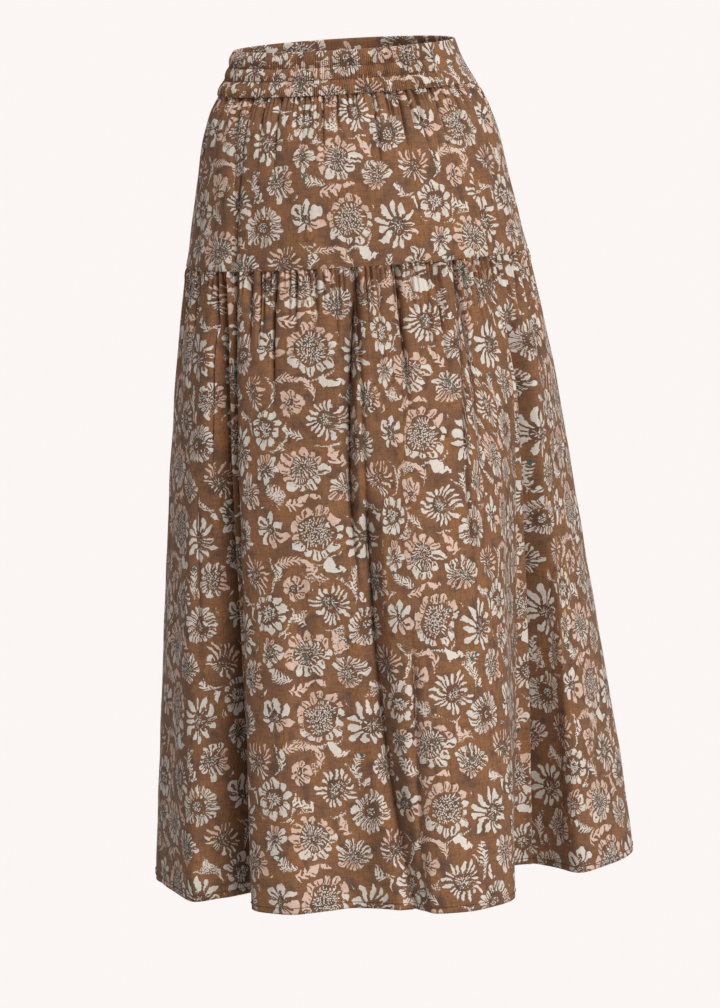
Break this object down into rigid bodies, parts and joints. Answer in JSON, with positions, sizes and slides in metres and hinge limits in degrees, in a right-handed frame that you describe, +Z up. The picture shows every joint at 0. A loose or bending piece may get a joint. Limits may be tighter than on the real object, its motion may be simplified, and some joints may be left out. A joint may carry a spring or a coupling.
{
  "type": "midi skirt",
  "caption": "Tiered midi skirt in printed brown cotton, worn, with an elasticated waistband and gathered tiers.",
  "frame": {"origin": "middle of the waist opening, level with the waistband's top edge at the sides", "axes": "+Z up, +Y towards the back of the skirt, -X towards the wearer's right"},
  "size_m": [0.5231, 0.4575, 0.9152],
  "materials": {
    "printed_cotton": "matte"
  },
  "bodies": {
    "root": {"waistband_back": "printed_cotton", "waistband_front": "printed_cotton", "upper_tier_back": "printed_cotton", "upper_tier_front": "printed_cotton", "lower_tier_back": "printed_cotton", "lower_tier_front": "printed_cotton"}
  },
  "joints": []
}
